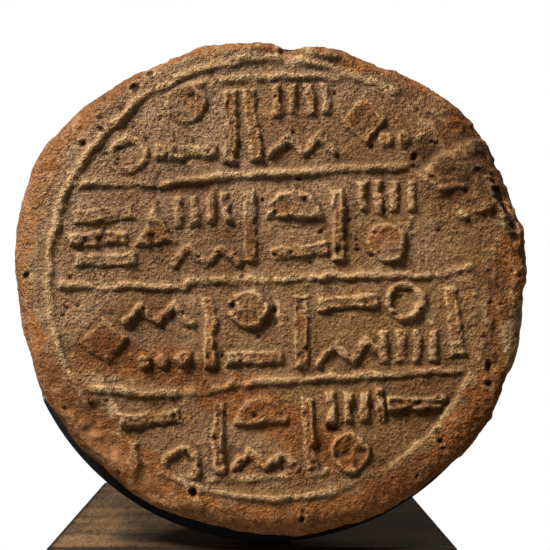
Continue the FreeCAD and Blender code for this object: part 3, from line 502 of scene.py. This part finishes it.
rust = rust + 0.85 * ramp(stain, 5.6, 1.6) * (0.4 + 0.6 * ramp(u, -37, -27)) * front
rustStart = around(direction, coneTints["rustStart"])
outsideRing = ramp(away + 1.3 * broken, rustStart, rustStart + 2.4)
rust = rust + outsideRing * (0.5 + 0.25 * around(direction, coneTints["rimRust"])) * front
for spot, strength, fray, outer, inner, reach in coneTints["rust"]:
    rust = rust + strength * oval(spot, fray, outer, inner) * reach
rust = rust + 0.5 * ramp(track(x, y, coneTints["rustLine"])[0] + 0.3 * broken, 1.3, 0.5) * front
rust = np.clip(rust + behind * (0.35 + 0.4 * rough(long, 14, 3, 103) + 0.5 * spalls), 0, 1)
burnsAndShade = 0.5 * behind * ramp(rough(long, 22, 5, 104), 0.4, 1.0)
for spot, strength, fray, outer, inner, reach in coneTints["burnsAndShade"]:
    burnsAndShade = np.maximum(burnsAndShade, strength * oval(spot, fray, outer, inner) * reach)
paintedShadeAndBurns = np.clip(np.maximum(paintedShadeAndBurns, burnsAndShade), 0, 1)
# darker towards the bottom
soilAndShade = 0.05 * ramp(v, 10, -25) * front
for spot, strength in coneTints["soilAndShade"]:
    soilAndShade = np.maximum(soilAndShade, strength * oval(spot, 0.22, 1.25, 0.35) * front)
soilAndShade = soilAndShade + 0.1 * oval(coneTints["soiledLump"], 0.2, 1.2, 0.6) * front
soilAndShade = np.maximum(soilAndShade, 0.4 * ramp(stain, 6.5, 1.5) * ramp(v, -40, -28) * front)
soilAndShade = np.clip(soilAndShade + 0.25 * rough(places, 9, 3, 106), 0, 1)
pale = 0.45 - (0.011 * u - 0.007 * v) * (1 - 0.6 * behind) + 0.4 * rough(places, 6, 3, 105)
pale = np.clip(pale + 0.5 * oval(coneTints["paleTop"], 0, 1.2, 0.6) * front - 0.6 * paintedShadeAndBurns, 0, 1)
grit = 0.8 + 0.4 * ramp(v - 0.4 * u, 0, 34) + 0.15 * ramp(u, 30, 42) - 0.55 * behind
smoothRim = ramp(direction, 190, 205) * ramp(direction, 262, 245) * ramp(away, 40, 44)  # at the lower left
grit = np.clip(grit - 0.4 * smoothRim, 0.25, 1.2)


def aboveMean(values, reach):  # each value of a grid less the mean of the square of cells round it
    padded = np.pad(values, reach, mode="edge")
    summed = np.pad(padded.cumsum(0).cumsum(1), ((1, 0), (1, 0)))
    span = 2 * reach + 1
    total = summed[span:, span:] - summed[:-span, span:] - summed[span:, :-span] + summed[:-span, :-span]
    return values - total / span**2


# the tops of the face's relief, which are paler: partly rubbed wear, partly a painted highlight; the hollows below
# them get painted shade
gridSide = coneSize["gridCells"] + 1
proud = np.zeros(len(u))
proud[: gridSide**2] = aboveMean((height + forward)[: gridSide**2].reshape(gridSide, gridSide), 3).ravel()
chalkLine = ramp(track(x + 0.5 * broken, y, coneTints["chalkLine"])[0], 0.9, 0.3)
proud = 0.47 + 1.8 * proud + 0.17 * edgeRubAndHighlight - 0.22 * pitted + (0.3 * chalky + 0.6 * chalkLine) * nearFace
proud = np.clip(proud, 0, 1)

points = places + normals * height[:, None]
points[:, 1] += faceY - forward


def makeMesh(name, points, quads, triangles, shades=None):  # places in millimetres, smooth faces, tints as attributes
    mesh = bpy.data.meshes.new(name)
    corners = np.concatenate([quads.ravel(), triangles.ravel()]).astype(np.int32)
    sizes = np.concatenate([np.full(len(quads), 4), np.full(len(triangles), 3)]).astype(np.int32)
    mesh.vertices.add(len(points))
    mesh.vertices.foreach_set("co", (points * mm).astype(np.float32).ravel())
    mesh.loops.add(len(corners))
    mesh.loops.foreach_set("vertex_index", corners)
    mesh.polygons.add(len(sizes))
    mesh.polygons.foreach_set("loop_start", (np.cumsum(sizes) - sizes).astype(np.int32))
    mesh.polygons.foreach_set("loop_total", sizes)
    mesh.polygons.foreach_set("use_smooth", np.ones(len(sizes), bool))
    for label, values in (shades or {}).items():
        mesh.attributes.new(label, "FLOAT", "POINT").data.foreach_set("value", values.astype(np.float32))
    mesh.update(calc_edges=True)
    mesh.validate()
    piece = bpy.data.objects.new(name, mesh)
    bpy.context.scene.collection.objects.link(piece)
    return piece


tints = {"rust": rust, "paintedShadeAndBurns": paintedShadeAndBurns, "pale": pale, "grit": grit, "proud": proud, "soilAndShade": soilAndShade}
cone = makeMesh("cone_clay", points, quads, triangles, tints)
print("cone made")


def sweep(name, loops):  # rows of closed loops joined one to the next, with a fan to the middle of each end loop
    rowCount, loopCount = loops.shape[:2]
    index = np.arange(rowCount * loopCount).reshape(rowCount, loopCount)
    after = np.roll(index, -1, 1)
    quads = np.stack([index[:-1], index[1:], after[1:], after[:-1]], -1).reshape(-1, 4)
    points = np.concatenate([loops.reshape(-1, 3), loops[:1].mean(1), loops[-1:].mean(1)])
    start, end = rowCount * loopCount, rowCount * loopCount + 1
    triangles = np.concatenate([
        np.stack([np.full(loopCount, start), index[0], after[0]], 1),
        np.stack([index[-1], np.full(loopCount, end), after[-1]], 1),
    ])
    return makeMesh(name, points, quads, triangles)


def roundedBox(wide, high, corner, step):  # points about one step apart round a box whose corners are quarter circles
    stops = []
    for cx, cy, start in ((1, 1, 0), (-1, 1, 90), (-1, -1, 180), (1, -1, 270)):
        for a in np.radians(start + np.linspace(0, 90, 5)):
            x, y = cx * (wide / 2 - corner), cy * (high / 2 - corner)
            stops.append((x + corner * math.cos(a), y + corner * math.sin(a)))
    closed = np.array(stops + stops[:1])
    run = np.concatenate([[0], np.hypot(*np.diff(closed, axis=0).T).cumsum()])
    at = np.unique(np.concatenate([run[:-1], np.arange(0, run[-1], step)]))
    at = at[np.concatenate([[True], np.diff(at) > step / 20])]
    return np.interp(at, run, closed[:, 0]), np.interp(at, run, closed[:, 1])


padSize = {"inside": 0.33, "outside": 0.9, "corner": 0.2, "step": 0.4, "rows": 150}  # from the cone's clay, outwards
pads = {  # first and last depth, degrees of arc
    "front_cradle_pad": {"start": 12.6, "end": 23.4, "arc": 126.0},
    "rear_cradle_pad": {"start": 115.6, "end": 124.4, "arc": 114.0},
}


# A pad: a rounded strip's outline swept along an arc under the cone, at the taper's radius for each depth.
def cradlePad(node, start, end, arc):
    inside, outside = padSize["inside"], padSize["outside"]
    across, through = roundedBox(end - start, outside - inside, padSize["corner"], padSize["step"])
    turn = np.radians(270 + np.linspace(-arc / 2, arc / 2, padSize["rows"]))[:, None]
    padDepth = (start + end) / 2 + across[None, :]
    clay = coneSize["wideRadius"] - (padDepth - coneSize["shoulder"]) * coneSize["taper"]
    radius = clay + (inside + outside) / 2 + through[None, :]
    loops = [coneX + radius * np.cos(turn), padDepth + faceY + 0 * turn, coneZ + radius * np.sin(turn)]
    loops = np.stack(loops, -1)
    onEdges = np.abs(np.tile(through, len(turn))) < 0.2  # the faces against clay and steel stay smooth
    fuzz = 0.05 * noise(loops.reshape(-1, 3), 0.9, 110) * onEdges
    outward = np.stack([np.cos(turn), 0 * turn, np.sin(turn)], -1)
    return sweep(node + "_felt", loops + fuzz.reshape(loops.shape[:2])[:, :, None] * outward)


padPieces = {node: cradlePad(node, **size) for node, size in pads.items()}

baize = {"wide": 73.0, "long": 160.0, "thick": 1.0, "corner": 2.0, "edge": 0.3, "step": 1.5}


# The baize: a thin rounded box's outline swept along its length, and narrower in its round corners.
def baizeSheet(name):
    nearEnds = baize["long"] / 2 - np.array([0.01, 0.2, 0.7, 1.3])
    rowY = np.concatenate([-nearEnds, np.linspace(-78, 78, 79), nearEnds[::-1]])
    inset = np.maximum(0, np.abs(rowY) - (baize["long"] / 2 - baize["corner"]))
    narrow = baize["corner"] - np.sqrt(np.maximum(0, baize["corner"] ** 2 - inset**2))
    across, through = roundedBox(baize["wide"], baize["thick"], baize["edge"], baize["step"])
    return sweep(name, np.stack([
        across[None, ::-1] * (1 - 2 * narrow[:, None] / baize["wide"]),
        rowY[:, None] + 0 * across[None, :],
        baize["thick"] / 2 + through[None, ::-1] + 0 * rowY[:, None],
    ], -1))


feltSheet = baizeSheet("base_baize")
print("felts made")


class Wire:  # a shader value that takes part in sums
    def __init__(self, graph, socket):
        self.graph, self.socket = graph, socket

    def sum(self, operation, first, second, **settings):
        return self.graph.make("Math", [first, second], operation=operation, **settings)

    def __add__(self, other):
        return self.sum("ADD", self, other)

    def __sub__(self, other):
        return self.sum("SUBTRACT", self, other)

    def __rsub__(self, other):
        return self.sum("SUBTRACT", other, self)

    def __mul__(self, other):
        return self.sum("MULTIPLY", self, other)

    __radd__, __rmul__ = __add__, __mul__

    def ramp(self, low, high):  # 0 before low, 1 after high
        if low > high:
            return 1 - self.ramp(high, low)
        return self.graph.make("MapRange", [self, low, high], interpolation_type="SMOOTHSTEP")

    def size(self):  # without its sign
        return self.sum("ABSOLUTE", self, 0.0)

    def kept(self):  # held between 0 and 1
        return self.sum("ADD", self, 0.0, use_clamp=True)


class Graph:
    def __init__(self, owner):
        owner.use_nodes = True
        self.tree = owner.node_tree
        self.tree.nodes.clear()

    def make(self, kind, values=(), out=0, **settings):  # any node: its settings, then values by place or by name
        node = self.tree.nodes.new("ShaderNode" + kind)
        for name, setting in settings.items():
            setattr(node, name, setting)
        for key, value in values.items() if isinstance(values, dict) else enumerate(values):
            socket = node.inputs[key]
            if isinstance(value, Wire):
                self.tree.links.new(value.socket, socket)
            else:
                socket.default_value = value
        return Wire(self, node.outputs[out])

    def blend(self, share, first, second, kind="MIX"):  # two colours
        full = [(*c, 1.0) if isinstance(c, tuple) else c for c in (first, second)]
        return self.make("Mix", {0: share, 6: full[0], 7: full[1]}, out=2, data_type="RGBA", blend_type=kind)

    def tinted(self, share, colour, by):  # the colour where the share is 0, and multiplied by another where it is 1
        return self.blend(share.kept(), colour, self.blend(1.0, colour, by, "MULTIPLY"))

    def shade(self, name):  # a tint kept on the mesh
        return self.make("Attribute", out=2, attribute_name=name)

    def place(self, scale=(1000, 1000, 1000)):  # millimetres on the object, or stretched
        coords = self.make("TexCoord", out=3)
        return self.make("VectorMath", [coords, scale], operation="MULTIPLY")

    def split(self, place):  # a place's three distances
        first = self.make("SeparateXYZ", [place])
        return [Wire(self, socket) for socket in first.socket.node.outputs]

    def noise(self, place, scale, detail=3.0, roughness=0.55, distortion=0.0):
        values = {"Vector": place, "Scale": scale, "Detail": detail, "Roughness": roughness, "Distortion": distortion}
        return self.make("TexNoise", values)

    def cells(self, place, scale):
        return self.make("TexVoronoi", {"Vector": place, "Scale": scale})

    def finish(self, shader, target="Material"):
        output = self.tree.nodes.new("ShaderNodeOutput" + target)
        self.tree.links.new(shader.socket, output.inputs[0])

    def surface(self, values, height, distance):
        values["Normal"] = self.make("Bump", {"Strength": 1.0, "Distance": distance, "Height": height})
        self.finish(self.make("BsdfPrincipled", values))


clayFinish = {  # linear colours, darker and paler where there are two, and the depth of the grain in metres
    "field": ((0.25, 0.122, 0.043), (0.335, 0.192, 0.095)), "rust": (0.24, 0.082, 0.018),
    "paleRust": ((0.34, 0.13, 0.034), (0.36, 0.178, 0.078)), "rubbedAndHighlit": (0.58, 0.355, 0.165),
    "paleGrainAndHighlight": (1.9, 2.0, 2.1), "darkGrainAndShade": (0.4, 0.36, 0.32), "hollow": (0.14, 0.068, 0.028),
    "speck": (0.07, 0.035, 0.018), "burnsAndShade": (0.055, 0.028, 0.015), "soilAndShade": (0.56, 0.47, 0.4), "grain": 0.0006,
}


def clayMaterial():
    material = bpy.data.materials.new("fired_clay")
    graph = Graph(material)
    place = graph.place()
    rust, paintedShadeAndBurns, pale, grit, proud, soilAndShade = (graph.shade(name) for name in tints)
    coarse = graph.noise(place, 0.5, 4.0, 0.6)
    fine = graph.noise(place, 1.3, 4.0, 0.68)
    crests = 1 - (graph.noise(place, 0.75, 3.0, 0.6) - 0.5).size() * 4
    sand = graph.noise(place, 3.3, 2.0, 0.65)
    grain, crumb, speck = (graph.cells(place, scale) for scale in (1.35, 2.3, 0.8))
    uneven = graph.noise(place, 0.17, 2.0, 0.5).ramp(0.36, 0.62) * 0.65 + 0.55  # where the skin is smoother or rougher
    # outside the painted shade and the burns
    clearOfShadeAndBurns = 1 - paintedShadeAndBurns
    patchy = (rust + (coarse - 0.5) + (fine - 0.5) * 0.6).ramp(0.2, 0.85)
    field = graph.blend(pale, *clayFinish["field"])
    warm = graph.blend(coarse.ramp(0.35, 0.7), clayFinish["rust"], graph.blend(pale, *clayFinish["paleRust"]))
    colour = graph.blend(patchy, field, warm)
    # paler on the relief's tops and mark edges: painted highlight, partly rubbed wear
    rubbedAndHighlit = proud.ramp(0.52, 0.8) * (1 - rust * 0.5) * 0.75 * clearOfShadeAndBurns
    colour = graph.blend(rubbedAndHighlit.kept(), colour, clayFinish["rubbedAndHighlit"])
    # the colour follows the grain's bumps: paler on their tops and darker in their lows, painted highlight and shade,
    # partly pale sand
    grainToneAndShade = (fine - 0.5) * 0.9 + (sand - 0.5) * 0.9 + (crests - 0.45) * 0.2
    grainToneAndShade = grainToneAndShade * (grit * 0.7 + 0.3) * (uneven * 0.6 + 0.45)
    colour = graph.tinted(grainToneAndShade.ramp(0.02, 0.2) * 0.72 * clearOfShadeAndBurns, colour, clayFinish["paleGrainAndHighlight"])
    colour = graph.tinted(grainToneAndShade.ramp(-0.02, -0.2) * 0.75, colour, clayFinish["darkGrainAndShade"])
    # painted shade: darker in the hollows of the relief
    colour = graph.blend(((1 - proud).ramp(0.6, 0.95) * 0.35).kept(), colour, clayFinish["hollow"])
    colour = graph.blend((speck.ramp(0.15, 0.07) * 0.8).kept(), colour, clayFinish["speck"])
    # painted shade in holes, crevices, pits and crumbs, and the burn marks, in one dark colour
    colour = graph.blend((paintedShadeAndBurns * (0.75 + coarse * 0.4)).kept(), colour, clayFinish["burnsAndShade"])
    # soil, with some painted shade, darkens the colour
    colour = graph.blend((soilAndShade * (coarse * 0.8 + 0.55)).kept(), colour, clayFinish["soilAndShade"], "MULTIPLY")
    bumps = (fine - 0.5) + (sand - 0.5) * 0.8 + crests * 0.26
    bumps = bumps - grain.ramp(0.25, 0.7) * 0.3 - crumb.ramp(0.25, 0.7) * 0.14 - speck.ramp(0.15, 0.05) * 0.5
    values = {"Base Color": colour, "Roughness": 0.92, "Specular IOR Level": 0.2}
    graph.surface(values, bumps * grit * uneven, clayFinish["grain"])
    return material


woodFinish = {  # the dark and light of the grain unshaded, and a darker copy for painted shade: the cone's painted shadow and the darkening towards the back
    "unshadedWood": ((0.075, 0.047, 0.028), (0.32, 0.175, 0.075)), "kept": ((0.022, 0.014, 0.008), (0.11, 0.062, 0.03)),
    "pores": (0.03, 0.019, 0.012), "arris": (0.02, 0.012, 0.007), "arrisX": 36.8, "arrisY": 80.2,
}


def woodMaterial():  # the grain runs along the block
    material = bpy.data.materials.new("dark_stained_wood")
    graph = Graph(material)
    cloud = graph.noise(graph.place((30, 60, 60)), 1.0, 2.0, 0.5, 0.5)
    band = graph.noise(graph.place((230, 20, 230)), 1.0, 3.0, 0.6, 0.3)
    grain = graph.noise(graph.place((900, 60, 900)), 1.0, 4.0, 0.65, 0.3)
    pores = graph.noise(graph.place((1000, 130, 1000)), 2.2, 3.0, 0.65)
    sides = graph.split(graph.place())
    right, back = sides[0].ramp(-33.0, -21.0), sides[1].ramp(-66.0, 10.0)  # painted shadow of the cone over the right of the top, and darker towards the back
    tone = (grain * 0.8 + band * 0.7 + cloud * 1.9 + pores * 0.9 - 1.7).ramp(-0.1, 1.1)
    unshadedWood, kept = graph.blend(tone, *woodFinish["unshadedWood"]), graph.blend(tone, *woodFinish["kept"])
    # painted shade: the darker copy where the cone's shadow is painted, and towards the back
    colour = graph.blend((back * 0.65 + right * 0.85).kept(), unshadedWood, kept)
    colour = graph.blend((pores.ramp(0.45, 0.3) * 0.7).kept(), colour, woodFinish["pores"])
    arris = [(sides[k].size() - woodFinish[key]).ramp(0.0, 0.9) for k, key in enumerate(("arrisX", "arrisY"))]
    colour = graph.blend(((arris[0] + arris[1]) * 0.9).kept(), colour, woodFinish["arris"])
    values = {"Base Color": colour, "Roughness": 0.52 + grain * 0.22, "Specular IOR Level": 0.12}
    graph.surface(values, grain * 0.5 - pores.ramp(0.42, 0.3) * 0.6, 0.00008)
    return material


def steelMaterial(name, low, high, rough, metal, bump):
    material = bpy.data.materials.new(name)
    graph = Graph(material)
    cloud = graph.noise(graph.place(), 0.25, 3.0, 0.5)
    peel = graph.noise(graph.place(), 1.6, 2.0, 0.5)
    values = {
        "Base Color": graph.blend((cloud * 0.6 + peel * 0.4).ramp(0.35, 0.7), low, high), "Metallic": metal,
        "Roughness": rough + (peel - 0.5) * 0.22 + (cloud - 0.5) * 0.1, "Specular IOR Level": 0.3,
    }
    graph.surface(values, peel, bump)
    return material


def feltMaterial(name, low, high):
    material = bpy.data.materials.new(name)
    graph = Graph(material)
    fibre = graph.noise(graph.place(), 2.4, 4.0, 0.7, 1.2)
    cloud = graph.noise(graph.place(), 0.12, 2.0, 0.5)
    colour = graph.blend((fibre * 0.7 + cloud * 0.4).ramp(0.35, 0.8), low, high)
    values = {"Base Color": colour, "Roughness": 0.95, "Sheen Weight": 0.25, "Specular IOR Level": 0.2}
    graph.surface(values, fibre, 0.00025)
    return material


clay = clayMaterial()
wood = woodMaterial()
blackSteel = steelMaterial("black_painted_steel", (0.008, 0.008, 0.008), (0.017, 0.016, 0.016), 0.42, 0.0, 0.00002)
brightSteel = steelMaterial("zinc_plated_steel", (0.42, 0.42, 0.41), (0.62, 0.61, 0.58), 0.36, 1.0, 0.00001)
blackFelt = feltMaterial("black_felt", (0.006, 0.006, 0.006), (0.03, 0.029, 0.028))
greenBaize = feltMaterial("green_baize", (0.012, 0.045, 0.022), (0.03, 0.1, 0.045))

carried = {
    "base_block": wood, "front_cradle": blackSteel, "rear_cradle": blackSteel, "front_stud": blackSteel,
    "rear_post": blackSteel, "stud_washers": brightSteel, "stud_nuts": brightSteel,
}
for node, material in carried.items():
    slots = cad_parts[node].data.materials
    slots.clear()
    slots.append(material)

cone.data.materials.append(clay)
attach(cone, "cone")
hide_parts("clay_cone")
for node, piece in padPieces.items():
    piece.data.materials.append(blackFelt)
    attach(piece, "stand")
    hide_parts(node)
feltSheet.data.materials.append(greenBaize)
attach(feltSheet, "stand")
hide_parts("base_felt")
print("materials set")


def glow(graph, seen, felt):  # a grey for the camera, and another that lights the object
    path = graph.make("LightPath", out=0)
    first = graph.make("Emission", [(felt, felt, felt, 1), 1.0])
    second = graph.make("Emission", [(seen, seen, seen, 1), 1.0])
    return graph.make("MixShader", [path, first, second])


# The floor: plain and pale, matt close to the block so that it takes the shadow, and clear white beyond it.
floorSize = {"half": 3.0, "z": -0.0002, "mattX": 38.5, "mattY": 82.0}
half, floorZ = floorSize["half"], floorSize["z"]
corners = [(x, y, floorZ) for x, y in ((-half, -half), (half, -half), (half, half), (-half, half))]
floorMesh = bpy.data.meshes.new("floor")
floorMesh.from_pydata(corners, [], [(0, 1, 2, 3)])
floor = bpy.data.objects.new("floor", floorMesh)
bpy.context.scene.collection.objects.link(floor)
floorMaterial = bpy.data.materials.new("pale_floor")
graph = Graph(floorMaterial)
sides = graph.split(graph.place())
sideways, lengthways = sides[0].size() - floorSize["mattX"], sides[1].size() - floorSize["mattY"]
clear = graph.make("Math", [sideways, lengthways], operation="MAXIMUM").ramp(2.0, 20.0)
matt = graph.make("BsdfDiffuse", [(0.85, 0.85, 0.85, 1)])
graph.finish(graph.make("MixShader", [clear, matt, glow(graph, 1.0, 0.12)]))
floorMesh.materials.append(floorMaterial)

world = bpy.data.worlds.new("studio")
bpy.context.scene.world = world
graph = Graph(world)
path = graph.make("LightPath", out=0)
dim = graph.make("Background", [(1, 0.9, 0.78, 1), 0.125])
white = graph.make("Background", [(1, 1, 1, 1), 1.0])
graph.finish(graph.make("MixShader", [path, dim, white]), "World")


def areaLight(name, target, towards, distance, size, watts):  # stands this far from its target, and faces it
    data = bpy.data.lights.new(name, "AREA")
    data.shape, data.size, data.energy = "DISK", size, watts
    lamp = bpy.data.objects.new(name, data)
    bpy.context.scene.collection.objects.link(lamp)
    aim = np.array(towards) / np.linalg.norm(towards)
    lamp.location = [target[k] + aim[k] * distance for k in range(3)]
    lamp.rotation_mode = "QUATERNION"
    lamp.rotation_quaternion = Vector([-a for a in aim]).to_track_quat("-Z", "Y")


stampCentre = (coneX * mm, faceY * mm, (coneZ + coneSize["stampRise"]) * mm)
areaLight("key", stampCentre, (-0.5, -0.44, 0.74), 1.1, 0.4, 22.0)
areaLight("back", (0, 0, 0.07), (0.65, 0.65, 0.5), 1.0, 0.5, 1.9)

view = {"lens": 147.6, "sensor": 36.0, "place": (0.0004, -0.502, 0.0666), "up": 0.97, "right": 0.53}  # degrees
camera = bpy.data.cameras.new("camera")
camera.lens, camera.sensor_width = view["lens"], view["sensor"]
camera.clip_start, camera.clip_end = 0.01, 20
camera.dof.use_dof = False
cameraObject = bpy.data.objects.new("camera", camera)
bpy.context.scene.collection.objects.link(cameraObject)
cameraObject.location = view["place"]
cameraObject.rotation_euler = (math.radians(90 + view["up"]), 0, math.radians(-view["right"]))
bpy.context.scene.camera = cameraObject
bpy.context.scene.view_settings.view_transform = "Standard"
print("floor, lights and camera set")
